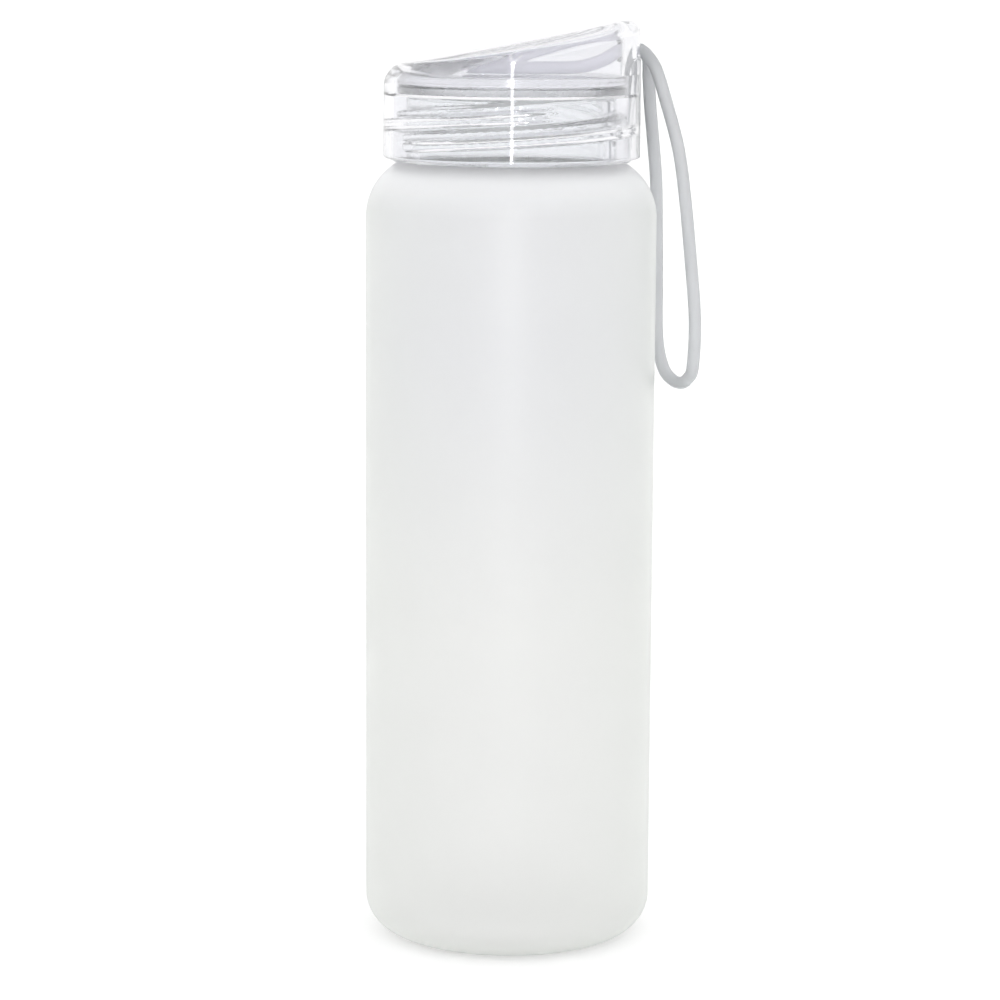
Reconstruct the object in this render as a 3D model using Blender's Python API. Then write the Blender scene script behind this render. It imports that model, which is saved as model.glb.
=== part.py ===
"""A frosted glass bottle with a clear screw lid and a loop of silicone cord through the lid.

Metres, +Z up. The bottle stands on z = 0 and its axis is Z. The lid's top slopes: its high side,
with the slot for the strap, faces +X.
"""

import math

import bmesh
import bpy
from mathutils import Vector

# Round shapes
SEGMENTS = 48  # columns round the axis
ARC_STEPS = 6  # steps along a fillet
EDGE_STEPS = 3  # steps along a small edge round
SHARP_ANGLE = math.radians(30)
FIT_GAP = 0.0003  # between pieces that touch on the real object

# Glass body
BODY_RADIUS = 0.0325
BODY_WALL = 0.0026
HEEL_RADIUS = 0.0086
SHOULDER_START = 0.1635  # height where the straight wall ends
SHOULDER_RADIUS = 0.014
SHOULDER_TURN = math.radians(62)  # how far the shoulder curves in before it runs straight
FLOOR_THICKNESS = 0.005
STANDING_RING_RADIUS = 0.016  # inner edge of the flat ring that the bottle stands on
PUNT_RISE = 0.0025
INNER_HEEL_RADIUS = 0.006

# Neck
NECK_RADIUS = 0.0234
NECK_WALL = 0.0028
NECK_HEIGHT = 0.0139
LIP_ROUND = 0.001

# Screw thread, right-handed
THREAD_STARTS = 2
THREAD_LEAD = 0.0102
THREAD_HEIGHT = 0.0022
THREAD_FOOT = 0.0023
THREAD_CREST = 0.0011
THREAD_EMBED = 0.0006
THREAD_FADE = math.radians(20)  # length of the run-out at each end
THREAD_SINK = 0.0002  # how far the crest ends under the wall it grows from
THREAD_BELOW_LIP = 0.0012
THREAD_START = math.radians(-65)
GLASS_THREAD_TURNS = 0.85
LID_THREAD_TURNS = 0.75
THREAD_CLEARANCE = 0.0009  # from the glass crest to the lid's bore, and the other way round
THREAD_FLANK_GAP = 0.00235  # how far the lid's ridge runs below the glass ridge

# Seal and inner plate
SEAL_THICKNESS = 0.0017
SEAL_OVERLAP = 0.0004  # how far the ring reaches into the mouth
SEAL_CLEARANCE = 0.0005  # from the ring's edge to the lid's seat
PLATE_THICKNESS = 0.0021
PLATE_EDGE = 0.0004
POST_RADIUS = 0.004
POST_X = -0.0034
POST_HEIGHT = 0.0035
POST_EDGE = 0.0006

# Lid
LID_WALL = 0.00225
LID_DRAFT = 0.0002  # how much narrower the side is at the top than at the rim
LID_DEPTH = 0.0186  # from the ledge over the plate down to the rim
LID_RIM_ROUND = 0.0006
LID_RIM_SLANT = 0.0006  # how much lower the rim is on its inside
SEAT_WALL = 0.00285
SEAT_ABOVE_LIP = 0.0005
CHAMBER_WALL = 0.00415
CHAMBER_LOW = 0.0005  # height of the room over the plate on the low side
CHAMBER_HIGH = 0.0093
ROOF_LOW = 0.0017
ROOF_HIGH = 0.0026
CORNER_MEAN = 0.00415  # radius of the top edge, halfway round
CORNER_CHANGE = 0.00115

# Strap and its slot
STRAP_DIAMETER = 0.0028
STRAP_GAP = 0.0008  # between the held part and the free part
STRAP_STEP = 2.5 * STRAP_DIAMETER
STRAP_TURN = math.radians(10)
SLOT_WIDTH = 0.0076
SLOT_HEIGHT = 0.0052
SLOT_ABOVE_PLATE = 0.00565
SLOT_OVERRUN = 0.002  # how far the cutter reaches past the wall on each side
SWING_X = 0.02984
SWING_Z = 0.20149

# The strap's route in millimetres: round the post, out through the slot, down the front,
# round the bottom, up the back and in again
STRAP_ROUTE = (
    (-9.8, 0.0, 196.75),
    (-8.0, -4.4, 196.75),
    (-3.4, -6.4, 196.75),
    (2.0, -6.4, 196.75),
    (9.0, -5.3, 196.8),
    (15.5, -3.5, 197.1),
    (20.2, -2.3, 198.6),
    (23.4, -1.8, 200.4),
    (25.6, -1.65, 201.2),
    (27.4, -1.65, 201.1),
    (28.9, -1.65, 200.45),
    (30.2, -1.67, 199.2),
    (32.0, -1.75, 196.3),
    (34.1, -2.1, 189.8),
    (37.0, -2.6, 179.3),
    (38.6, -2.9, 168.8),
    (40.1, -3.3, 154.5),
    (41.25, -3.3, 140.8),
    (41.0, -1.6, 130.2),
    (40.2, 0.9, 127.4),
    (38.9, 3.8, 125.9),
    (37.0, 6.9, 126.1),
    (34.9, 9.7, 128.6),
    (33.5, 10.8, 135.5),
    (33.25, 10.9, 149.0),
    (33.05, 10.7, 161.0),
    (32.7, 9.2, 171.0),
    (31.9, 6.6, 179.3),
    (31.0, 4.0, 187.5),
    (30.45, 2.3, 194.3),
    (30.25, 1.7, 198.6),
    (28.9, 1.65, 200.45),
    (27.4, 1.65, 201.1),
    (25.6, 1.65, 201.2),
    (23.4, 1.8, 200.4),
    (20.2, 2.3, 198.6),
    (15.5, 3.5, 197.1),
    (9.0, 5.3, 196.8),
    (2.0, 6.4, 196.75),
    (-3.4, 6.4, 196.75),
    (-8.0, 4.4, 196.75),
)
STRAP_MOUTH = (10, 31)  # the route's points at the mouth of the slot, front and back
ROUTE_SAMPLES = 40  # fine points between two points of the route

# Sizes that follow from the ones above
SHOULDER_CENTRE = BODY_RADIUS - SHOULDER_RADIUS
NECK_BORE_RADIUS = NECK_RADIUS - NECK_WALL
INNER_BODY_RADIUS = BODY_RADIUS - BODY_WALL
LIP_HEIGHT = (
    SHOULDER_START
    + SHOULDER_RADIUS * math.sin(SHOULDER_TURN)
    + (SHOULDER_CENTRE + SHOULDER_RADIUS * math.cos(SHOULDER_TURN) - NECK_RADIUS) / math.tan(SHOULDER_TURN)
    + NECK_HEIGHT
)
LID_BORE_RADIUS = NECK_RADIUS + THREAD_HEIGHT + THREAD_CLEARANCE
LID_RADIUS = LID_BORE_RADIUS + LID_WALL
SEAT_RADIUS = LID_RADIUS - SEAT_WALL
SEAL_RADIUS = SEAT_RADIUS - SEAL_CLEARANCE
CHAMBER_RADIUS = LID_RADIUS - CHAMBER_WALL
SEAL_BOTTOM = LIP_HEIGHT + FIT_GAP
PLATE_BOTTOM = SEAL_BOTTOM + SEAL_THICKNESS + FIT_GAP
PLATE_TOP = PLATE_BOTTOM + PLATE_THICKNESS
LEDGE_HEIGHT = PLATE_TOP + FIT_GAP
RIM_HEIGHT = LEDGE_HEIGHT - LID_DEPTH
SLOT_MIDDLE = PLATE_TOP + SLOT_ABOVE_PLATE
ROOF_SLOPE = (CHAMBER_HIGH - CHAMBER_LOW) / (2 * CHAMBER_RADIUS)
TOP_SLOPE = ROOF_SLOPE + (ROOF_HIGH - ROOF_LOW) / (2 * CHAMBER_RADIUS)
ROOF_HEIGHT = LEDGE_HEIGHT + (CHAMBER_HIGH + CHAMBER_LOW) / 2
TOP_HEIGHT = ROOF_HEIGHT + (ROOF_HIGH + ROOF_LOW) / 2


def clear_scene():
    for obj in list(bpy.data.objects):
        bpy.data.objects.remove(obj)


def make_material(name, color, roughness, alpha=1.0, transmission=0.0):
    material = bpy.data.materials.new(name)
    material.use_nodes = True
    shader = material.node_tree.nodes["Principled BSDF"]
    shader.inputs["Base Color"].default_value = (*color, 1.0)
    shader.inputs["Roughness"].default_value = roughness
    shader.inputs["Metallic"].default_value = 0.0
    shader.inputs["Alpha"].default_value = alpha
    shader.inputs["Transmission Weight"].default_value = transmission
    return material


def arc(centre_r, centre_z, radius, start, end, steps=ARC_STEPS):
    """(r, z) points along an arc, its angles in degrees from +r towards +z."""
    points = []
    for i in range(steps + 1):
        angle = math.radians(start + (end - start) * i / steps)
        points.append((centre_r + radius * math.cos(angle), centre_z + radius * math.sin(angle)))
    return points


def finish(obj, mesh, material):
    mesh.materials.append(material)
    mesh.shade_smooth()
    mesh.set_sharp_from_angle(angle=SHARP_ANGLE)
    bpy.context.scene.collection.objects.link(obj)
    return obj


def turned(name, outline, material, ring=False):
    """A solid turned round Z. outline(angle) gives its (r, z) points, from pole to pole or as a ring."""
    bm = bmesh.new()
    columns = []
    first = outline(0.0)
    poles = () if ring else (0, len(first) - 1)
    shared = {i: bm.verts.new((0.0, 0.0, first[i][1])) for i in poles}
    for i in range(SEGMENTS):
        angle = 2 * math.pi * i / SEGMENTS
        column = []
        for j, (r, z) in enumerate(outline(angle)):
            at = (r * math.cos(angle), r * math.sin(angle), z)
            column.append(shared[j] if j in shared else bm.verts.new(at))
        columns.append(column)
    for i, column in enumerate(columns):
        beside = columns[(i + 1) % SEGMENTS]
        for j in range(len(column) if ring else len(column) - 1):
            k = (j + 1) % len(column)
            corners = dict.fromkeys((column[j], beside[j], beside[k], column[k]))
            bm.faces.new(corners)
    bmesh.ops.recalc_face_normals(bm, faces=bm.faces)
    mesh = bpy.data.meshes.new(name)
    bm.to_mesh(mesh)
    bm.free()
    return finish(bpy.data.objects.new(name, mesh), mesh, material)


def helper(obj):
    obj.hide_render = True
    obj.display_type = "WIRE"
    return obj


def combine(obj, other, operation):
    modifier = obj.modifiers.new(other.name, "BOOLEAN")
    modifier.operation = operation
    modifier.solver = "EXACT"
    modifier.object = helper(other)


def thread_ridge(name, root, side, top, start, turns, material):
    """A ridge that runs down a wall of radius root, growing outwards (side 1) or inwards (side -1)."""
    bm = bmesh.new()
    rings = []
    steps = round(SEGMENTS * turns)
    whole = 2 * math.pi * turns
    for i in range(steps + 1):
        run = whole * i / steps
        full = min(1.0, run / THREAD_FADE, (whole - run) / THREAD_FADE)
        crest = root + side * (THREAD_HEIGHT * full - THREAD_SINK * (1 - full))
        embedded = root - side * THREAD_EMBED
        z = top - THREAD_LEAD * run / (2 * math.pi)
        angle = start - run
        section = (
            (embedded, z + THREAD_FOOT / 2),
            (crest, z + THREAD_CREST / 2),
            (crest, z - THREAD_CREST / 2),
            (embedded, z - THREAD_FOOT / 2),
        )
        rings.append([bm.verts.new((r * math.cos(angle), r * math.sin(angle), h)) for r, h in section])
    for before, after in zip(rings, rings[1:]):
        for j in range(len(before)):
            k = (j + 1) % len(before)
            bm.faces.new((before[j], before[k], after[k], after[j]))
    bm.faces.new(rings[0])
    bm.faces.new(rings[-1])
    bmesh.ops.recalc_face_normals(bm, faces=bm.faces)
    mesh = bpy.data.meshes.new(name)
    bm.to_mesh(mesh)
    bm.free()
    return finish(bpy.data.objects.new(name, mesh), mesh, material)


def add_threads(obj, root, side, top, turns, material):
    for n in range(THREAD_STARTS):
        start = THREAD_START + 2 * math.pi * n / THREAD_STARTS
        ridge = thread_ridge(f"{obj.name}_thread_{n + 1}", root, side, top, start, turns, material)
        combine(obj, ridge, "UNION")


def glass_outline(_angle):
    """From the middle of the base, up the outside, over the lip and down the inside."""
    turn = math.degrees(SHOULDER_TURN)
    inner_turn = SHOULDER_RADIUS - BODY_WALL
    heel_centre = BODY_RADIUS - HEEL_RADIUS
    inner_heel_centre = INNER_BODY_RADIUS - INNER_HEEL_RADIUS
    inner_heel_height = FLOOR_THICKNESS + INNER_HEEL_RADIUS
    bore_turn = math.degrees(math.acos((NECK_BORE_RADIUS - SHOULDER_CENTRE) / inner_turn))
    punt = []
    for i in range(ARC_STEPS):
        share = i / ARC_STEPS
        punt.append((STANDING_RING_RADIUS * share, PUNT_RISE * (1 - share * share)))
    floor = [(r, z + FLOOR_THICKNESS) for r, z in reversed(punt)]
    return (
        punt
        + [(STANDING_RING_RADIUS, 0.0)]
        + arc(heel_centre, HEEL_RADIUS, HEEL_RADIUS, -90, 0)
        + arc(SHOULDER_CENTRE, SHOULDER_START, SHOULDER_RADIUS, 0, turn)
        + [(NECK_RADIUS, LIP_HEIGHT - NECK_HEIGHT)]
        + arc(NECK_RADIUS - LIP_ROUND, LIP_HEIGHT - LIP_ROUND, LIP_ROUND, 0, 90, EDGE_STEPS)
        + arc(NECK_BORE_RADIUS + LIP_ROUND, LIP_HEIGHT - LIP_ROUND, LIP_ROUND, 90, 180, EDGE_STEPS)
        + arc(SHOULDER_CENTRE, SHOULDER_START, inner_turn, bore_turn, 0)
        + arc(inner_heel_centre, inner_heel_height, INNER_HEEL_RADIUS, 0, -90)
        + floor
    )


def glass_bottle():
    material = make_material("frosted_glass", (0.83, 0.84, 0.83), 0.45, 0.9, 0.6)
    bottle = turned("glass_bottle", glass_outline, material)
    top = LIP_HEIGHT - THREAD_BELOW_LIP
    add_threads(bottle, NECK_RADIUS, 1, top, GLASS_THREAD_TURNS, material)


def seal_ring():
    inner = NECK_BORE_RADIUS - SEAL_OVERLAP
    top = SEAL_BOTTOM + SEAL_THICKNESS
    outline = [(inner, SEAL_BOTTOM), (SEAL_RADIUS, SEAL_BOTTOM), (SEAL_RADIUS, top), (inner, top)]
    material = make_material("seal_silicone", (0.80, 0.80, 0.80), 0.6)
    turned("seal_ring", lambda _angle: outline, material, ring=True)


def inner_plate():
    radius = SEAT_RADIUS - FIT_GAP
    outline = (
        [(0.0, PLATE_BOTTOM), (radius - PLATE_EDGE, PLATE_BOTTOM), (radius, PLATE_BOTTOM + PLATE_EDGE)]
        + arc(radius - PLATE_EDGE, PLATE_TOP - PLATE_EDGE, PLATE_EDGE, 0, 90, EDGE_STEPS)
        + [(0.0, PLATE_TOP)]
    )
    material = make_material("plate_plastic", (0.80, 0.82, 0.83), 0.3)
    plate = turned("inner_plate", lambda _angle: outline, material)
    top = PLATE_TOP + POST_HEIGHT
    post_outline = (
        [(0.0, PLATE_TOP - PLATE_THICKNESS / 2), (POST_RADIUS, PLATE_TOP - PLATE_THICKNESS / 2)]
        + arc(POST_RADIUS - POST_EDGE, top - POST_EDGE, POST_EDGE, 0, 90, EDGE_STEPS)
        + [(0.0, top)]
    )
    post = turned("strap_post", lambda _angle: post_outline, material)
    post.location.x = POST_X
    combine(plate, post, "UNION")


def lid_outline(angle):
    """From the middle of the sloping top, down the outside, round the rim and up the inside."""
    slope = TOP_SLOPE * math.cos(angle)
    corner = CORNER_MEAN - CORNER_CHANGE * math.cos(angle)
    top_radius = LID_RADIUS - LID_DRAFT
    corner_r = top_radius - corner
    corner_z = TOP_HEIGHT + slope * corner_r - corner * math.hypot(1, slope)
    corner_turn = math.degrees(math.atan2(1, -slope))
    rim_r = (LID_RADIUS - LID_RIM_ROUND, LID_BORE_RADIUS + LID_RIM_ROUND)
    rim_z = RIM_HEIGHT + LID_RIM_ROUND
    roof = ROOF_HEIGHT + ROOF_SLOPE * math.cos(angle) * CHAMBER_RADIUS
    seat_z = LIP_HEIGHT + SEAT_ABOVE_LIP
    return (
        [(0.0, TOP_HEIGHT)]
        + arc(corner_r, corner_z, corner, corner_turn, 0)
        + arc(rim_r[0], rim_z, LID_RIM_ROUND, 0, -90, EDGE_STEPS)
        + arc(rim_r[1], rim_z - LID_RIM_SLANT, LID_RIM_ROUND, -90, -180, EDGE_STEPS)
        + [
            (LID_BORE_RADIUS, seat_z - (LID_BORE_RADIUS - SEAT_RADIUS)),
            (SEAT_RADIUS, seat_z),
            (SEAT_RADIUS, LEDGE_HEIGHT),
            (CHAMBER_RADIUS, LEDGE_HEIGHT),
            (CHAMBER_RADIUS, roof),
            (0.0, ROOF_HEIGHT),
        ]
    )


def slot_cutter(material):
    """A bar with round ends that opens the wall on the high side."""
    reach = SLOT_WIDTH / 2 - SLOT_HEIGHT / 2
    outline = arc(reach, SLOT_MIDDLE, SLOT_HEIGHT / 2, -90, 90) + arc(
        -reach, SLOT_MIDDLE, SLOT_HEIGHT / 2, 90, 270
    )
    bm = bmesh.new()
    face = bm.faces.new([bm.verts.new((LID_RADIUS + SLOT_OVERRUN, y, z)) for y, z in outline])
    made = bmesh.ops.extrude_face_region(bm, geom=[face])
    moved = [item for item in made["geom"] if isinstance(item, bmesh.types.BMVert)]
    length = LID_RADIUS - CHAMBER_RADIUS + 2 * SLOT_OVERRUN
    bmesh.ops.translate(bm, verts=moved, vec=Vector((-length, 0, 0)))
    bmesh.ops.recalc_face_normals(bm, faces=bm.faces)
    mesh = bpy.data.meshes.new("strap_slot")
    bm.to_mesh(mesh)
    bm.free()
    return finish(bpy.data.objects.new("strap_slot", mesh), mesh, material)


def lid_shell():
    material = make_material("clear_plastic", (0.86, 0.88, 0.89), 0.12, 0.45, 0.8)
    lid = turned("lid_shell", lid_outline, material)
    top = LIP_HEIGHT - THREAD_BELOW_LIP - THREAD_FLANK_GAP
    add_threads(lid, LID_BORE_RADIUS, -1, top, LID_THREAD_TURNS, material)
    combine(lid, slot_cutter(material), "DIFFERENCE")


def smooth_part(before, start, end, after):
    """Fine points of a rounded curve from start towards end, which passes through all four."""
    leave = (end - before) / 2
    arrive = (after - start) / 2
    bend = 2 * start - 2 * end + leave + arrive
    ease = 3 * end - 3 * start - 2 * leave - arrive
    points = []
    for i in range(ROUTE_SAMPLES):
        t = i / ROUTE_SAMPLES
        points.append(start + leave * t + ease * t * t + bend * t * t * t)
    return points


def smooth_loop():
    """The closed route as fine points, in metres."""
    route = [Vector(point) / 1000 for point in STRAP_ROUTE]
    fine = []
    for i in range(len(route)):
        around = [route[(i + k) % len(route)] for k in (-1, 0, 1, 2)]
        fine += smooth_part(*around)
    return fine


def trimmed(points, gap):
    """A line without the first and last stretch of length gap."""
    return [p for p in points if min((p - points[0]).length, (p - points[-1]).length) >= gap]


def spaced(points):
    """Points of the line far enough apart, and closer together where it bends."""
    kept = [points[0]]
    heading = (points[1] - points[0]).normalized()
    for before, here in zip(points[1:], points[2:]):
        turn = heading.angle(here - before)
        if (here - kept[-1]).length > STRAP_STEP or turn > STRAP_TURN:
            kept.append(here)
            heading = (here - before).normalized()
    if (points[-1] - kept[-1]).length < STRAP_DIAMETER / 2:
        kept.pop()
    return kept + [points[-1]]


def cord(name, points, material, parent=None):
    curve = bpy.data.curves.new(name, "CURVE")
    curve.dimensions = "3D"
    curve.bevel_depth = STRAP_DIAMETER / 2
    curve.bevel_resolution = 2
    curve.use_fill_caps = True
    spline = curve.splines.new("POLY")
    spline.points.add(len(points) - 1)
    origin = parent.location if parent else Vector((0, 0, 0))
    for knot, at in zip(spline.points, points):
        knot.co = (*(at - origin), 1.0)
    curve.materials.append(material)
    obj = bpy.data.objects.new(name, curve)
    obj.parent = parent
    bpy.context.scene.collection.objects.link(obj)


def strap():
    """One closed loop, in two pieces that meet in the mouth of the slot."""
    fine = smooth_loop()
    front, back = (i * ROUTE_SAMPLES for i in STRAP_MOUTH)
    free = trimmed(fine[front : back + 1], STRAP_GAP / 2)
    held = trimmed(fine[back:] + fine[: front + 1], STRAP_GAP / 2)
    swing = bpy.data.objects.new("strap_swing", None)
    swing.location = (SWING_X, 0.0, SWING_Z)
    bpy.context.scene.collection.objects.link(swing)
    material = make_material("strap_silicone", (0.62, 0.64, 0.66), 0.55)
    cord("strap_outer_loop", spaced(free), material, swing)
    cord("strap_inner_loop", spaced(held), material)


def main():
    clear_scene()
    glass_bottle()
    seal_ring()
    inner_plate()
    lid_shell()
    strap()


main()
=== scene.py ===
import math
import bpy
from mathutils import Matrix, Vector


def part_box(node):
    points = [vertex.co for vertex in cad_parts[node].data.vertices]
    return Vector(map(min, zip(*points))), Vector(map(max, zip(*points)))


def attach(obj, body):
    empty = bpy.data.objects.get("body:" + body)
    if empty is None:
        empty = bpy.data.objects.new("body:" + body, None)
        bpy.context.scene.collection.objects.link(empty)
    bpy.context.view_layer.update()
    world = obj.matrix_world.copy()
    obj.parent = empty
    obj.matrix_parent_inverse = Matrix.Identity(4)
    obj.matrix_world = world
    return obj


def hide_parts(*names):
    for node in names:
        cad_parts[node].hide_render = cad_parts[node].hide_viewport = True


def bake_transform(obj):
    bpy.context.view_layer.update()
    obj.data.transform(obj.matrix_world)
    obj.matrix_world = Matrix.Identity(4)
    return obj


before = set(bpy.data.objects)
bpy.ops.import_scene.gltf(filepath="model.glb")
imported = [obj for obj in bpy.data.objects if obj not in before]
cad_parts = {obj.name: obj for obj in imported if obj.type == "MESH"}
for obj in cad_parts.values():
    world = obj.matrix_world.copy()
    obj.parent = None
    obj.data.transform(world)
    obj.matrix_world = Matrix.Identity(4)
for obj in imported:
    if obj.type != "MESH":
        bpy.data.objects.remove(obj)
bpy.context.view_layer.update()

# all sizes are in metres and all angles in radians, unless a note says otherwise

scene = bpy.context.scene


# camera, at a person's table-top distance and a little above the lid

camera = {
    "place": (0.0, -0.760, 0.2216),
    "lens": 122.29,  # millimetres, as the sensor's width is
    "sensor": 36.0,
    "lookDown": 0.1595,
    "turn": 0.0028,
    "roll": 0.0058,
}


def addCamera():
    data = bpy.data.cameras.new("mainCamera")
    data.lens = camera["lens"]
    data.sensor_width = camera["sensor"]
    eye = bpy.data.objects.new("mainCamera", data)
    scene.collection.objects.link(eye)
    eye.matrix_world = (
        Matrix.Translation(camera["place"])
        @ Matrix.Rotation(camera["turn"], 4, "Z")
        @ Matrix.Rotation(math.pi / 2 - camera["lookDown"], 4, "X")
        @ Matrix.Rotation(camera["roll"], 4, "Z")
    )
    scene.camera = eye
    print("camera set")


# strap: one closed loop of silicone cord, round the post in the lid and out through the slot

strap = {
    "diameter": 0.0028,
    "length": 0.25,  # once round the loop
    "sides": 20,
    "fineSteps": 12,  # curve points between two points of the route
    "spacing": 0.0008,
    "routeMm": (  # out through the slot, down beside the bottle, up and back in, round the post
        (20.2, -2.3, 198.6), (23.4, -1.8, 200.4), (25.6, -1.65, 201.2), (27.4, -1.65, 201.1),
        (28.9, -1.65, 200.45), (30.2, -1.67, 199.2), (32.0, -1.75, 196.3),
        (34.1, -2.1, 189.8), (37.0, -2.6, 179.3), (38.6, -2.9, 168.8), (40.1, -3.3, 154.5),
        (41.25, -3.3, 140.8), (41.0, -1.6, 130.2), (40.2, 0.9, 127.4), (38.9, 3.8, 125.9),
        (37.0, 6.9, 126.1), (34.9, 9.7, 128.6), (33.5, 10.8, 135.5), (33.25, 10.9, 149.0),
        (33.05, 10.7, 161.0), (32.7, 9.2, 171.0), (31.9, 6.6, 179.3), (31.0, 4.0, 187.5),
        (30.45, 2.3, 194.3), (30.25, 1.7, 198.6), (28.9, 1.65, 200.45), (27.4, 1.65, 201.1),
        (25.6, 1.65, 201.2), (23.4, 1.8, 200.4), (20.2, 2.3, 198.6), (15.5, 3.5, 197.1), (9.0, 5.3, 196.8),
        (2.0, 6.4, 196.75), (-3.4, 6.4, 196.75), (-8.0, 4.4, 196.75), (-9.8, 0.0, 196.75),
        (-8.0, -4.4, 196.75), (-3.4, -6.4, 196.75), (2.0, -6.4, 196.75), (9.0, -5.3, 196.8),
        (15.5, -3.5, 197.1),
    ),
    "exit": (0.0287, 0.0, 0.2006),  # the slot's mouth
    "bendStart": (0.0289, 0.0, 0.2008),  # where the free part begins to swing
    "bendEnd": (0.0312, 0.0, 0.1965),
}


def smoothLoop():
    # rounds the route into one closed curve through all its points
    route = [Vector(point) / 1000 for point in strap["routeMm"]]
    path = []
    for i, start in enumerate(route):
        before, end, after = route[i - 1], route[(i + 1) % len(route)], route[(i + 2) % len(route)]
        leave, arrive = (end - before) / 2, (after - start) / 2
        for step in range(strap["fineSteps"]):
            t = step / strap["fineSteps"]
            bend = 2 * start - 2 * end + leave + arrive
            ease = 3 * end - 3 * start - 2 * leave - arrive
            path.append(start + leave * t + ease * t * t + bend * t * t * t)
    return path


def evenLoop(path, spacing):
    # the same closed curve with its points a fixed distance apart
    closed = path + [path[0]]
    lengths = [0.0]
    for a, b in zip(closed, closed[1:]):
        lengths.append(lengths[-1] + (b - a).length)
    count = round(lengths[-1] / spacing)
    even, k = [], 0
    for i in range(count):
        at = lengths[-1] * i / count
        while lengths[k + 1] < at:
            k += 1
        share = (at - lengths[k]) / (lengths[k + 1] - lengths[k])
        even.append(closed[k].lerp(closed[k + 1], share))
    return even, lengths[-1]


def ringFrames(path):
    # a side direction for each point, carried along the loop without twist and closed evenly
    count = len(path)
    aims = [(path[(i + 1) % count] - path[i - 1]).normalized() for i in range(count)]
    side = aims[0].cross(Vector((0, 0, 1))).normalized()
    sides = []
    for i in range(count + 1):
        aim = aims[i % count]
        side = (side - aim * side.dot(aim)).normalized()
        sides.append(side.copy())
    gap = sides[0].angle(sides[-1])
    if sides[-1].cross(sides[0]).dot(aims[0]) < 0:
        gap = -gap
    return [(aims[i], Matrix.Rotation(gap * i / count, 3, aims[i]) @ sides[i]) for i in range(count)]


def makeStrap():
    path, length = evenLoop(smoothLoop(), strap["spacing"])
    radius, sides = strap["diameter"] / 2, strap["sides"]
    points, faces = [], []
    for centre, (aim, side) in zip(path, ringFrames(path)):
        up = aim.cross(side)
        for k in range(sides):
            angle = 2 * math.pi * k / sides
            points.append(centre + radius * (math.cos(angle) * side + math.sin(angle) * up))
    for i in range(len(path)):
        j = (i + 1) % len(path)
        for k in range(sides):
            m = (k + 1) % sides
            faces.append((i * sides + k, i * sides + m, j * sides + m, j * sides + k))
    mesh = bpy.data.meshes.new("strap")
    mesh.from_pydata(points, [], faces)
    mesh.shade_smooth()
    piece = bpy.data.objects.new("strap", mesh)
    scene.collection.objects.link(piece)
    print("strap made,", round(length, 4), "m round")
    return piece, path


# shared steps for the turned pieces

turning = {
    "columns": 192,
    "firstFace": 0.001,
    "weld": 0.000004,
    "smoothDegrees": 40,
}


def selectOnly(piece):
    bpy.ops.object.select_all(action="DESELECT")
    piece.select_set(True)
    bpy.context.view_layer.objects.active = piece


def smoothSides(piece, degrees=turning["smoothDegrees"]):
    selectOnly(piece)
    bpy.ops.object.shade_smooth_by_angle(angle=math.radians(degrees))


def cut(piece, other, operation):
    # joins the other piece to this one, or cuts it out
    selectOnly(piece)
    step = piece.modifiers.new("shape", "BOOLEAN")
    step.operation = operation
    step.solver = "EXACT"
    step.object = other
    bpy.ops.object.modifier_apply(modifier=step.name)
    bpy.data.objects.remove(other)


def arc(r, z, radius, start, end, steps):
    # points of a round about (r, z), between two angles in degrees
    points = []
    for i in range(steps + 1):
        angle = math.radians(start + (end - start) * i / steps)
        points.append((r + radius * math.cos(angle), z + radius * math.sin(angle)))
    return points


def rings(r, low, high, spacing):
    # evenly spaced points up or down a straight wall
    count = max(1, round(abs(high - low) / spacing))
    return [(r, low + (high - low) * i / count) for i in range(count + 1)]


def turnOutline(name, outline, columns=turning["columns"]):
    # draws the outline point by point beside the axis, then spins it round
    bpy.ops.object.select_all(action="DESELECT")
    corner = (outline[0][0], 0, outline[0][1])
    bpy.ops.mesh.primitive_plane_add(size=turning["firstFace"], location=corner)
    piece = bpy.context.object
    piece.name = name
    bpy.ops.object.transform_apply(location=True, rotation=False, scale=False)
    bpy.ops.object.mode_set(mode="EDIT")
    bpy.ops.mesh.select_mode(type="VERT")
    bpy.ops.mesh.select_all(action="SELECT")
    bpy.ops.mesh.merge(type="CENTER")
    for here, there in zip(outline, outline[1:]):
        step = (there[0] - here[0], 0, there[1] - here[1])
        bpy.ops.mesh.extrude_region_move(TRANSFORM_OT_translate={"value": step})
    bpy.ops.mesh.select_all(action="SELECT")
    bpy.ops.mesh.spin(steps=columns, angle=2 * math.pi, center=(0, 0, 0), axis=(0, 0, 1))
    bpy.ops.mesh.select_all(action="SELECT")
    bpy.ops.mesh.remove_doubles(threshold=turning["weld"])
    bpy.ops.mesh.normals_make_consistent(inside=False)
    bpy.ops.object.mode_set(mode="OBJECT")
    return piece


def smoothStep(low, high, value):
    # 0 below the low end, 1 above the high end, and an easy slope between them
    t = min(1.0, max(0.0, (value - low) / (high - low)))
    return t * t * (3 - 2 * t)


# screw thread, the same on the glass and in the lid: right-handed, running down from its start

thread = {
    "starts": 2,
    "lead": 0.0102,
    "height": 0.0022,
    "foot": 0.00125,  # half the ridge's width, at the wall and at its crest
    "crest": 0.0004,
    "fade": math.radians(50),  # length of each run-out
    "start": math.radians(-65),
    "belowLip": 0.0012,
    "flankGap": 0.00235,  # how far the lid's ridge runs below the glass one
    "glassTurns": 0.85,
    "lidTurns": 0.75,
    "ringSpacing": 0.00016,
    "onWall": 0.00005,
}


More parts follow.
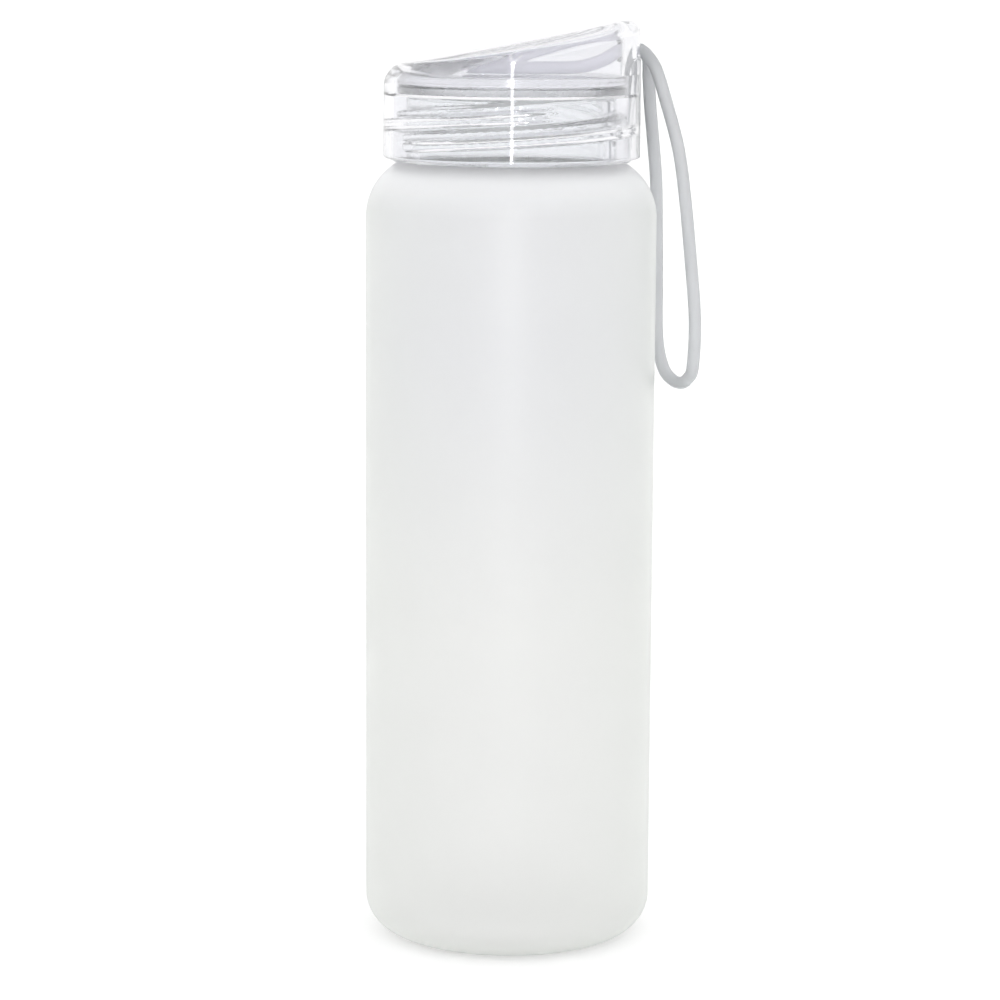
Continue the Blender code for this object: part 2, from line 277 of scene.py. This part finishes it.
def threadHeight(angle, z, top, turns):
    most = 0.0
    for n in range(thread["starts"]):
        run = (thread["start"] + 2 * math.pi * n / thread["starts"] - angle) % (2 * math.pi)
        middle = top - thread["lead"] * run / (2 * math.pi)
        across = 1 - smoothStep(thread["crest"], thread["foot"], abs(z - middle))
        left = 2 * math.pi * turns - run
        full = smoothStep(0, thread["fade"], run) * smoothStep(0, thread["fade"], left)
        most = max(most, thread["height"] * across * full)
    return most


def raiseThread(piece, wall, top, turns, outwards):
    # moves the wall's points in or out where the ridge runs
    for point in piece.data.vertices:
        r = math.hypot(point.co.x, point.co.y)
        if abs(r - wall) > thread["onWall"]:
            continue
        rise = threadHeight(math.atan2(point.co.y, point.co.x), point.co.z, top, turns)
        grown = (r + outwards * rise) / r
        point.co.x *= grown
        point.co.y *= grown


# glass bottle: its outline runs from the middle of the base up the outside, over the lip and
# down the inside to the middle of the floor

glass = {
    "radius": 0.0325,
    "wall": 0.0026,
    "heel": 0.0086,
    "shoulderStart": 0.1635,
    "shoulder": 0.014,
    "shoulderTurn": 62,  # degrees
    "floor": 0.005,
    "standingRing": 0.016,
    "punt": 0.0025,  # height of the hollow in the base
    "innerHeel": 0.006,
    "neck": 0.0234,
    "bore": 0.0206,
    "lipRound": 0.0011,
    "frostTop": 0.1762,  # the frosting ends a little inside the lid
    "underside": -0.5,  # a normal pointing lower than this is the base
    "outerSteps": 20,
    "innerSteps": 18,
    "floorSteps": 14,
    "lipSteps": 8,
}


def makeGlass():
    g, steps = glass, glass["floorSteps"]
    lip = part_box("glass_bottle")[1][2]
    lipLow = lip - g["lipRound"]
    centre = g["radius"] - g["shoulder"]
    inner = g["shoulder"] - g["wall"]
    innerCorner = g["radius"] - g["wall"] - g["innerHeel"]
    boreTurn = math.degrees(math.acos((g["bore"] - centre) / inner))
    shoulder = arc(centre, g["shoulderStart"], g["shoulder"], 0, g["shoulderTurn"], g["outerSteps"])
    reach, height = shoulder[-1]
    foot = height + (reach - g["neck"]) / math.tan(math.radians(g["shoulderTurn"]))
    punt = [(g["standingRing"] * i / steps, g["punt"] * (1 - (i / steps) ** 2)) for i in range(steps)]
    outline = (
        punt
        + [(g["standingRing"], 0)]
        + arc(g["radius"] - g["heel"], g["heel"], g["heel"], -90, 0, g["outerSteps"])
        + shoulder
        + rings(g["neck"], foot, lipLow, thread["ringSpacing"])[:-1]
        + arc(g["neck"] - g["lipRound"], lipLow, g["lipRound"], 0, 90, g["lipSteps"])
        + arc(g["bore"] + g["lipRound"], lipLow, g["lipRound"], 90, 180, g["lipSteps"])
        + arc(centre, g["shoulderStart"], inner, boreTurn, 0, g["innerSteps"])
        + arc(innerCorner, g["floor"] + g["innerHeel"], g["innerHeel"], 0, -90, steps)
        + [(r, z + g["floor"]) for r, z in reversed(punt)]
    )
    piece = turnOutline("glassBody", outline)
    raiseThread(piece, g["neck"], lip - thread["belowLip"], thread["glassTurns"], 1)
    smoothSides(piece)
    print("glass made")
    return piece


# seal ring, a flat washer with rounded edges

seal = {
    "inner": 0.0202,
    "outer": 0.0254,
    "edge": 0.0004,
    "edgeSteps": 5,
}


def makeSeal():
    low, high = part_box("seal_ring")
    inner, outer, edge, steps = seal["inner"], seal["outer"], seal["edge"], seal["edgeSteps"]
    outline = (
        arc(outer - edge, high[2] - edge, edge, 90, 0, steps)
        + arc(outer - edge, low[2] + edge, edge, 0, -90, steps)
        + arc(inner + edge, low[2] + edge, edge, -90, -180, steps)
        + arc(inner + edge, high[2] - edge, edge, 180, 90, steps)
    )
    piece = turnOutline("sealRing", outline + outline[:1])
    smoothSides(piece)
    print("seal made")
    return piece


# inner plate, and the post on it that the strap goes round

plate = {
    "edge": 0.0004,
    "edgeSteps": 5,
    "post": 0.004,
    "postX": -0.0034,
    "postHeight": 0.0035,
    "postRoot": 0.001,  # how deep the post starts in the plate
    "postEdge": 0.0007,
    "postEdgeSteps": 6,
    "postColumns": 64,
    "smoothDegrees": 35,
}


def makePlate():
    p = plate
    low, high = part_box("inner_plate")
    radius, bottom, top = high[0], low[2], high[2] - p["postHeight"]
    outline = (
        [(0, top)]
        + arc(radius - p["edge"], top - p["edge"], p["edge"], 90, 0, p["edgeSteps"])
        + arc(radius - p["edge"], bottom + p["edge"], p["edge"], 0, -90, p["edgeSteps"])
        + [(0, bottom)]
    )
    piece = turnOutline("innerPlate", outline)
    root = top - p["postRoot"]
    postOutline = (
        [(0, high[2])]
        + arc(p["post"] - p["postEdge"], high[2] - p["postEdge"], p["postEdge"], 90, 0, p["postEdgeSteps"])
        + [(p["post"], root), (0, root)]
    )
    post = turnOutline("platePost", postOutline, p["postColumns"])
    post.data.transform(Matrix.Translation((p["postX"], 0, 0)))
    cut(piece, post, "UNION")
    smoothSides(piece, p["smoothDegrees"])
    print("plate made")
    return piece


# lid: a turned cup, with its roof then tilted, its thread raised and its slot cut

lid = {
    "radius": 0.02875,
    "bore": 0.0265,
    "draft": 0.0002,  # how much narrower the lid is at its top
    "rimRound": 0.0006,
    "rimSlant": 0.0006,  # how far the bore's edge hangs below the outer one
    "rimSteps": 6,
    "seat": 0.0259,
    "seatAboveLip": 0.0005,
    "ledgeAbovePlate": 0.0003,
    "chamber": 0.0246,
    "chamberRound": 0.0007,
    "low": 0.0005,  # height of the chamber at its low side and at its high one
    "high": 0.0093,
    "roofLow": 0.0017,  # thickness of the roof at the same two sides
    "roofHigh": 0.0026,
    "corner": 0.0041,
    "cornerSteps": 18,
    "near": 0.00001,
    "slotWide": 0.0076,
    "slotTall": 0.0052,
    "slotRound": 0.0025,
    "slotSteps": 10,
    "slotAbovePlate": 0.00565,
    "cutterSpare": 0.004,
}


def tiltRoof(piece, roof, top):
    # the roof and the top rise towards +X, each by its own slope
    k = lid
    roofSlope = (k["high"] - k["low"]) / (2 * k["chamber"])
    topSlope = roofSlope + (k["roofHigh"] - k["roofLow"]) / (2 * k["chamber"])
    for point in piece.data.vertices:
        inChamber = math.hypot(point.co.x, point.co.y) < k["chamber"] + k["near"]
        if inChamber and roof - 2 * k["chamberRound"] < point.co.z < roof + k["near"]:
            point.co.z += roofSlope * point.co.x
        elif point.co.z > top - k["corner"] - k["near"]:
            point.co.z += topSlope * point.co.x


def cutSlot(piece, middle):
    # a hole with round ends through the high side, for the two strands of the strap
    k = lid
    wall = k["radius"] - k["chamber"] + k["cutterSpare"]
    bpy.ops.object.select_all(action="DESELECT")
    bpy.ops.mesh.primitive_cube_add(size=1, location=((k["radius"] + k["chamber"]) / 2, 0, middle))
    cutter = bpy.context.object
    cutter.scale = (wall, k["slotWide"], k["slotTall"])
    bpy.ops.object.transform_apply(location=True, rotation=False, scale=True)
    bpy.ops.object.mode_set(mode="EDIT")
    bpy.ops.mesh.select_mode(type="EDGE")
    bpy.ops.mesh.select_all(action="DESELECT")
    bpy.ops.object.mode_set(mode="OBJECT")
    for edge in cutter.data.edges:
        a, b = (cutter.data.vertices[i].co for i in edge.vertices)
        edge.select = abs(a.x - b.x) > wall / 2
    bpy.ops.object.mode_set(mode="EDIT")
    bpy.ops.mesh.bevel(offset=k["slotRound"], segments=k["slotSteps"])
    bpy.ops.object.mode_set(mode="OBJECT")
    cut(piece, cutter, "DIFFERENCE")


def makeLid():
    k = lid
    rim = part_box("lid_shell")[0][2] + k["rimSlant"]
    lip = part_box("glass_bottle")[1][2]
    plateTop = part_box("inner_plate")[1][2] - plate["postHeight"]
    ledge = plateTop + k["ledgeAbovePlate"]
    roof = ledge + (k["high"] + k["low"]) / 2
    top = roof + (k["roofHigh"] + k["roofLow"]) / 2
    seatZ = lip + k["seatAboveLip"]
    boreTop = seatZ - (k["bore"] - k["seat"])
    outerTop = k["radius"] - k["draft"]
    corner, rimRound, inRound = k["corner"], k["rimRound"], k["chamberRound"]
    outline = (
        [(0, top)]
        + arc(outerTop - corner, top - corner, corner, 90, 0, k["cornerSteps"])
        + arc(k["radius"] - rimRound, rim + rimRound, rimRound, 0, -90, k["rimSteps"])
        + arc(k["bore"] + rimRound, rim - k["rimSlant"] + rimRound, rimRound, -90, -180, k["rimSteps"])
        + rings(k["bore"], rim + rimRound, boreTop, thread["ringSpacing"])
        + [(k["seat"], seatZ), (k["seat"], ledge), (k["chamber"], ledge)]
        + arc(k["chamber"] - inRound, roof - inRound, inRound, 0, 90, k["rimSteps"])
        + [(0, roof)]
    )
    piece = turnOutline("lidShell", outline)
    tiltRoof(piece, roof, top)
    threadTop = lip - thread["belowLip"] - thread["flankGap"]
    raiseThread(piece, k["bore"], threadTop, thread["lidTurns"], -1)
    cutSlot(piece, plateTop + k["slotAbovePlate"])
    smoothSides(piece)
    print("lid made")
    return piece


# materials: tints, grain and specks keep their place on each piece

noise = {
    "low": 0.3,  # the part of a noise pattern's range that is stretched to its full swing
    "high": 0.7,
    "tintDetail": 3.0,
    "patchDetail": 5.0,
    "grainDetail": 4.0,
}


def addNode(tree, kind, **settings):
    node = tree.nodes.new(kind)
    for name, value in settings.items():
        setattr(node, name, value)
    return node


def newGroup(name, inputs, outputs):
    tree = bpy.data.node_groups.new(name, "ShaderNodeTree")
    for label, kind, value in inputs:
        socket = tree.interface.new_socket(label, in_out="INPUT", socket_type=kind)
        socket.default_value = value
    for label, kind in outputs:
        tree.interface.new_socket(label, in_out="OUTPUT", socket_type=kind)
    return tree, addNode(tree, "NodeGroupInput"), addNode(tree, "NodeGroupOutput")


def addNoise(tree, detail):
    pattern = addNode(tree, "ShaderNodeTexNoise")
    pattern.inputs["Detail"].default_value = detail
    return pattern


def addRange(tree, low, high):
    # turns a value between low and high into one from 0 to 1
    spread = addNode(tree, "ShaderNodeMapRange")
    spread.inputs["From Min"].default_value = low
    spread.inputs["From Max"].default_value = high
    return spread


def mixColors(tree, first, second, share):
    # sockets 6, 7 and 0 of a colour mix are its two colours and the second one's share
    mix = addNode(tree, "ShaderNodeMix", data_type="RGBA")
    for socket, value in ((mix.inputs[6], first), (mix.inputs[7], second), (mix.inputs[0], share)):
        if isinstance(value, bpy.types.NodeSocket):
            tree.links.new(value, socket)
        else:
            socket.default_value = value
    return mix.outputs[2]


def makeTintGroup():
    # drifts slowly from one colour to another over the piece
    tree, given, result = newGroup(
        "cloudyTint",
        (("Colour", "NodeSocketColor", (1, 1, 1, 1)), ("Other Colour", "NodeSocketColor", (1, 1, 1, 1)),
         ("Scale", "NodeSocketFloat", 30.0)),
        (("Colour", "NodeSocketColor"),),
    )
    place = addNode(tree, "ShaderNodeTexCoord")
    cloud = addNoise(tree, noise["tintDetail"])
    spread = addRange(tree, noise["low"], noise["high"])
    tree.links.new(place.outputs["Object"], cloud.inputs["Vector"])
    tree.links.new(given.outputs["Scale"], cloud.inputs["Scale"])
    tree.links.new(cloud.outputs["Fac"], spread.inputs["Value"])
    mixed = mixColors(tree, given.outputs["Colour"], given.outputs["Other Colour"], spread.outputs["Result"])
    tree.links.new(mixed, result.inputs["Colour"])
    return tree


def makeGrainGroup():
    # uneven roughness, and a fine height for the bump
    tree, given, result = newGroup(
        "surfaceGrain",
        (("Patch Scale", "NodeSocketFloat", 60.0), ("Grain Scale", "NodeSocketFloat", 900.0),
         ("Smoothest", "NodeSocketFloat", 0.3), ("Roughest", "NodeSocketFloat", 0.5)),
        (("Roughness", "NodeSocketFloat"), ("Height", "NodeSocketFloat")),
    )
    place = addNode(tree, "ShaderNodeTexCoord")
    patches = addNoise(tree, noise["patchDetail"])
    grain = addNoise(tree, noise["grainDetail"])
    spread = addRange(tree, noise["low"], noise["high"])
    for node, label in ((patches, "Patch Scale"), (grain, "Grain Scale")):
        tree.links.new(place.outputs["Object"], node.inputs["Vector"])
        tree.links.new(given.outputs[label], node.inputs["Scale"])
    tree.links.new(patches.outputs["Fac"], spread.inputs["Value"])
    tree.links.new(given.outputs["Smoothest"], spread.inputs["To Min"])
    tree.links.new(given.outputs["Roughest"], spread.inputs["To Max"])
    tree.links.new(spread.outputs["Result"], result.inputs["Roughness"])
    tree.links.new(grain.outputs["Fac"], result.inputs["Height"])
    return tree


def makeSpeckGroup():
    # a mask of small round specks: bubbles in the plastic, dust on silicone
    tree, given, result = newGroup(
        "specks",
        (("Scale", "NodeSocketFloat", 400.0), ("Size", "NodeSocketFloat", 0.1),
         ("Share", "NodeSocketFloat", 0.1)),
        (("Mask", "NodeSocketFloat"),),
    )
    place = addNode(tree, "ShaderNodeTexCoord")
    cells = addNode(tree, "ShaderNodeTexVoronoi")
    inside = addNode(tree, "ShaderNodeMath", operation="LESS_THAN")
    split = addNode(tree, "ShaderNodeSeparateColor")
    chosen = addNode(tree, "ShaderNodeMath", operation="LESS_THAN")
    both = addNode(tree, "ShaderNodeMath", operation="MULTIPLY")
    tree.links.new(place.outputs["Object"], cells.inputs["Vector"])
    tree.links.new(given.outputs["Scale"], cells.inputs["Scale"])
    tree.links.new(cells.outputs["Distance"], inside.inputs[0])
    tree.links.new(given.outputs["Size"], inside.inputs[1])
    tree.links.new(cells.outputs["Color"], split.inputs["Color"])
    tree.links.new(split.outputs["Red"], chosen.inputs[0])
    tree.links.new(given.outputs["Share"], chosen.inputs[1])
    tree.links.new(inside.outputs["Value"], both.inputs[0])
    tree.links.new(chosen.outputs["Value"], both.inputs[1])
    tree.links.new(both.outputs["Value"], result.inputs["Mask"])
    return tree


def useGroup(tree, group, **values):
    # an underline in a value's name stands for the space in its socket's name
    node = addNode(tree, "ShaderNodeGroup", node_tree=group)
    for label, value in values.items():
        node.inputs[label.replace("_", " ")].default_value = value
    return node


def newMaterial(name, **values):
    material = bpy.data.materials.new(name)
    material.use_nodes = True
    tree = material.node_tree
    shader = tree.nodes["Principled BSDF"]
    for socket, value in values.items():
        shader.inputs[socket.replace("_", " ")].default_value = value
    return material, tree, shader


def addBump(tree, shader, height, strength, distance):
    bump = addNode(tree, "ShaderNodeBump")
    bump.inputs["Strength"].default_value = strength
    bump.inputs["Distance"].default_value = distance
    tree.links.new(height, bump.inputs["Height"])
    tree.links.new(bump.outputs["Normal"], shader.inputs["Normal"])


def makeSurface(groups, name, look, **values):
    # the common build: a tint, specks over it, uneven roughness and a fine bump
    material, tree, shader = newMaterial(name, **values)
    tint = useGroup(
        tree, groups["tint"], Colour=look["color"], Other_Colour=look["otherColor"], Scale=look["tintScale"]
    )
    specks = useGroup(
        tree, groups["specks"], Scale=look["speckScale"], Size=look["speckSize"], Share=look["speckShare"]
    )
    grain = useGroup(
        tree, groups["grain"], Patch_Scale=look["patchScale"], Grain_Scale=look["grainScale"],
        Smoothest=look["smoothest"], Roughest=look["roughest"],
    )
    color = mixColors(tree, tint.outputs["Colour"], look["speckColor"], specks.outputs["Mask"])
    tree.links.new(color, shader.inputs["Base Color"])
    tree.links.new(grain.outputs["Roughness"], shader.inputs["Roughness"])
    addBump(tree, shader, grain.outputs["Height"], look["bump"], look["bumpHeight"])
    return material, tree, shader


# the looks: two colours and the scale of their drift, the specks, the uneven shine and the bump

frost = {
    "color": (0.888, 0.892, 0.91, 1), "otherColor": (0.898, 0.901, 0.915, 1), "tintScale": 22,
    # the edge colour is the greenish tint of glass seen edge on, plus painted light that makes the edges
    # lighter
    "lowColor": (0.955, 0.957, 0.945, 1), "edgeTintAndLight": (0.965, 0.998, 0.95, 1),
    # painted light: by the neck the frost is made paler and given a faint glow, lifting the shade under the
    # lid
    "neckLightColor": (0.98, 0.985, 1.0, 1), "neckGlow": (0.095, 0.095, 0.097, 1),
    "neckFrom": 0.1655, "neckTo": 0.1755, "coolFrom": 0.075, "coolTo": 0.135, "edgeBlend": 0.35,
    "speckScale": 260, "speckSize": 0.06, "speckShare": 0.02, "speckColor": (0.72, 0.73, 0.72, 1),
    "patchScale": 70, "grainScale": 2600, "smoothest": 0.42, "roughest": 0.58,
    "bump": 0.12, "bumpHeight": 0.0002,
}

clearLook = {
    "color": (0.985, 0.99, 0.992, 1), "otherColor": (0.975, 0.985, 0.982, 1), "tintScale": 60,
    "speckScale": 420, "speckSize": 0.1, "speckShare": 0.01, "speckColor": (0.6, 0.6, 0.6, 1),
    "patchScale": 120, "grainScale": 160, "smoothest": 0.0, "roughest": 0.02,
    "bump": 0.02, "bumpHeight": 0.0004,
}

plasticLook = {
    "color": (0.905, 0.905, 0.925, 1), "otherColor": (0.88, 0.885, 0.905, 1), "tintScale": 90,
    "speckScale": 330, "speckSize": 0.13, "speckShare": 0.03, "speckColor": (0.45, 0.45, 0.47, 1),
    "patchScale": 140, "grainScale": 190, "smoothest": 0.015, "roughest": 0.06,
    "bump": 0.025, "bumpHeight": 0.0005,
}

plateLook = {
    "color": (0.95, 0.95, 0.975, 1), "otherColor": (0.965, 0.965, 0.98, 1), "tintScale": 80,
    "speckScale": 500, "speckSize": 0.12, "speckShare": 0.05, "speckColor": (0.97, 0.97, 0.98, 1),
    "patchScale": 120, "grainScale": 300, "smoothest": 0.05, "roughest": 0.12,
    "bump": 0.15, "bumpHeight": 0.0004,
}

strapLook = {
    "color": (0.705, 0.72, 0.735, 1), "otherColor": (0.74, 0.752, 0.765, 1), "tintScale": 110,
    # painted light: the cord inside the lid is made paler and given a faint glow
    "insideLightColor": (0.95, 0.945, 0.97, 1), "insideFrom": 0.0275, "insideTo": 0.0235,
    "insideGlow": (0.13, 0.13, 0.14, 1),
    "speckScale": 900, "speckSize": 0.16, "speckShare": 0.05, "speckColor": (0.70, 0.71, 0.73, 1),
    "patchScale": 180, "grainScale": 2200, "smoothest": 0.42, "roughest": 0.62,
    "bump": 0.18, "bumpHeight": 0.0001,
}

sealLook = {
    "color": (0.965, 0.97, 0.975, 1), "otherColor": (0.975, 0.98, 0.985, 1), "tintScale": 120,
    "speckScale": 800, "speckSize": 0.12, "speckShare": 0.03, "speckColor": (0.65, 0.65, 0.66, 1),
    "patchScale": 160, "grainScale": 1500, "smoothest": 0.2, "roughest": 0.32,
    "bump": 0.15, "bumpHeight": 0.0001,
}

floorLook = {
    "color": (0.80, 0.80, 0.80, 1), "otherColor": (0.79, 0.79, 0.79, 1), "tintScale": 3,
    "speckScale": 40, "speckSize": 0.05, "speckShare": 0.0, "speckColor": (0.8, 0.8, 0.8, 1),
    "patchScale": 5, "grainScale": 500, "smoothest": 0.75, "roughest": 0.85,
    "bump": 0.02, "bumpHeight": 0.0001,
}


def makeFrost(groups):
    # cool in the upper half and lighter and warmer below, greenish where the glass is seen edge on and
    # lighter there as painted light, and paler by the neck as painted light under the lid, where a faint glow
    # stands in for the light that the clear lid lets through
    material, tree, shader = makeSurface(
        groups, "frostedGlass", frost, Transmission_Weight=0.4, IOR=1.5, Coat_Weight=0.8, Coat_Roughness=0.35,
        Emission_Strength=1.0,
    )
    cool = shader.inputs["Base Color"].links[0].from_socket
    place = addNode(tree, "ShaderNodeTexCoord")
    split = addNode(tree, "ShaderNodeSeparateXYZ")
    tree.links.new(place.outputs["Object"], split.inputs["Vector"])
    shares = {}
    for part in ("cool", "neck"):
        rise = addRange(tree, frost[part + "From"], frost[part + "To"])
        tree.links.new(split.outputs["Z"], rise.inputs["Value"])
        shares[part] = rise.outputs["Result"]
    facing = addNode(tree, "ShaderNodeLayerWeight")
    facing.inputs["Blend"].default_value = frost["edgeBlend"]
    middle = mixColors(tree, frost["lowColor"], cool, shares["cool"])
    # painted light: the edges seen edge on are made lighter, as well as greenish with the glass's tint
    around = mixColors(tree, middle, frost["edgeTintAndLight"], facing.outputs["Facing"])
    # painted light: paler colour and a faint glow in the band by the neck, under the lid
    tree.links.new(mixColors(tree, around, frost["neckLightColor"], shares["neck"]), shader.inputs["Base Color"])
    glow = mixColors(tree, (0, 0, 0, 1), frost["neckGlow"], shares["neck"])
    tree.links.new(glow, shader.inputs["Emission Color"])
    return material


def makeSilicone(groups):
    # greyer outside the lid, and inside it painted paler with the same faint glow: painted light that stands
    # in for the light the clear lid lets through
    material, tree, shader = makeSurface(
        groups, "paleSilicone", strapLook, Transmission_Weight=0.5, IOR=1.41, Sheen_Weight=0.05,
        Emission_Strength=1.0,
    )
    outside = shader.inputs["Base Color"].links[0].from_socket
    place = addNode(tree, "ShaderNodeTexCoord")
    flatten = addNode(tree, "ShaderNodeVectorMath", operation="MULTIPLY")
    flatten.inputs[1].default_value = (1, 1, 0)
    reach = addNode(tree, "ShaderNodeVectorMath", operation="LENGTH")
    inside = addRange(tree, strapLook["insideFrom"], strapLook["insideTo"])
    tree.links.new(place.outputs["Object"], flatten.inputs[0])
    tree.links.new(flatten.outputs["Vector"], reach.inputs[0])
    tree.links.new(reach.outputs["Value"], inside.inputs["Value"])
    share = inside.outputs["Result"]
    # painted light: paler colour and a faint glow on the cord inside the lid
    color = mixColors(tree, outside, strapLook["insideLightColor"], share)
    tree.links.new(color, shader.inputs["Base Color"])
    glow = mixColors(tree, (0, 0, 0, 1), strapLook["insideGlow"], share)
    tree.links.new(glow, shader.inputs["Emission Color"])
    return material


def makeMaterials():
    groups = {"tint": makeTintGroup(), "grain": makeGrainGroup(), "specks": makeSpeckGroup()}
    looks = {
        "frost": makeFrost(groups),
        "clear": makeSurface(groups, "clearGlass", clearLook, Transmission_Weight=1.0, IOR=1.5)[0],
        "plastic": makeSurface(groups, "clearPlastic", plasticLook, Transmission_Weight=1.0, IOR=1.49)[0],
        "plate": makeSurface(groups, "hazyPlastic", plateLook, Transmission_Weight=0.98, IOR=1.49)[0],
        "silicone": makeSilicone(groups),
        "seal": makeSurface(groups, "sealSilicone", sealLook, Transmission_Weight=0.85, IOR=1.41)[0],
        "floor": makeSurface(
            groups, "paleFloor", floorLook, Emission_Color=(1, 1, 1, 1), Emission_Strength=0.28,
            Specular_IOR_Level=0.1,
        )[0],
    }
    print("materials made")
    return looks


def dress(piece, *materials):
    piece.data.materials.clear()
    for material in materials:
        piece.data.materials.append(material)


def bareGlass(piece):
    # only the outside is frosted, up to the neck
    for face in piece.data.polygons:
        outwards = face.normal.x * face.center.x + face.normal.y * face.center.y > 0
        outside = outwards or face.normal.z < glass["underside"]
        face.material_index = 0 if outside and face.center.z < glass["frostTop"] else 1


# floor, light and world

studio = {
    "world": 1.07,
    "floor": 60,
    "strip": (0.04, 0.9),
    "stripPlace": (0.0, -0.9, 0.47),
    "stripPower": 0.9,
    "spot": 0.06,
    "spotPlace": (0.0, -1.0, 0.25),
    "spotAim": (0, 0, 0.18),
    "spotPower": 0.8,
    "clearBounces": 28,  # the light crosses many walls of plastic and glass
    "diffuseBounces": 5,
}


def addLamp(name, width, height, place, power, aim):
    data = bpy.data.lights.new(name, "AREA")
    data.shape = "RECTANGLE"
    data.size, data.size_y = width, height
    data.energy = power
    light = bpy.data.objects.new(name, data)
    scene.collection.objects.link(light)
    light.location = place
    light.visible_diffuse = False  # shows only as a gleam, and the world lights the rest
    light.rotation_euler = (Vector(aim) - light.location).to_track_quat("-Z", "Y").to_euler()


def addStudio(material):
    bpy.ops.object.select_all(action="DESELECT")
    bpy.ops.mesh.primitive_plane_add(size=studio["floor"], location=(0, 0, 0))
    floor = bpy.context.object
    floor.name = "floor"
    dress(floor, material)
    world = bpy.data.worlds.new("studio")
    scene.world = world
    world.use_nodes = True
    background = world.node_tree.nodes["Background"]
    background.inputs["Color"].default_value = (1, 1, 1, 1)
    background.inputs["Strength"].default_value = studio["world"]
    x, y, z = studio["stripPlace"]
    addLamp("stripLight", *studio["strip"], studio["stripPlace"], studio["stripPower"], (x, 0, z))
    size = studio["spot"]
    addLamp("spotLight", size, size, studio["spotPlace"], studio["spotPower"], studio["spotAim"])
    scene.view_settings.view_transform = "Standard"
    scene.cycles.max_bounces = studio["clearBounces"]
    scene.cycles.transmission_bounces = studio["clearBounces"]
    scene.cycles.glossy_bounces = studio["clearBounces"]
    scene.cycles.diffuse_bounces = studio["diffuseBounces"]
    print("studio set")


# the build, and what each piece stands for in the frame

addCamera()
strapPiece, strapPath = makeStrap()
glassPiece = makeGlass()
sealPiece = makeSeal()
platePiece = makePlate()
lidPiece = makeLid()
looks = makeMaterials()
addStudio(looks["floor"])
dress(strapPiece, looks["silicone"])
dress(glassPiece, looks["frost"], looks["clear"])
bareGlass(glassPiece)
dress(sealPiece, looks["seal"])
dress(platePiece, looks["plate"])
dress(lidPiece, looks["plastic"])

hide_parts("glass_bottle")
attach(glassPiece, "bottle")
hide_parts("seal_ring")
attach(sealPiece, "seal")
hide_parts("inner_plate")
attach(platePiece, "lid")
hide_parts("lid_shell")
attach(lidPiece, "lid")
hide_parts("strap_inner_loop", "strap_outer_loop")
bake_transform(strapPiece)

print("pieces ready")
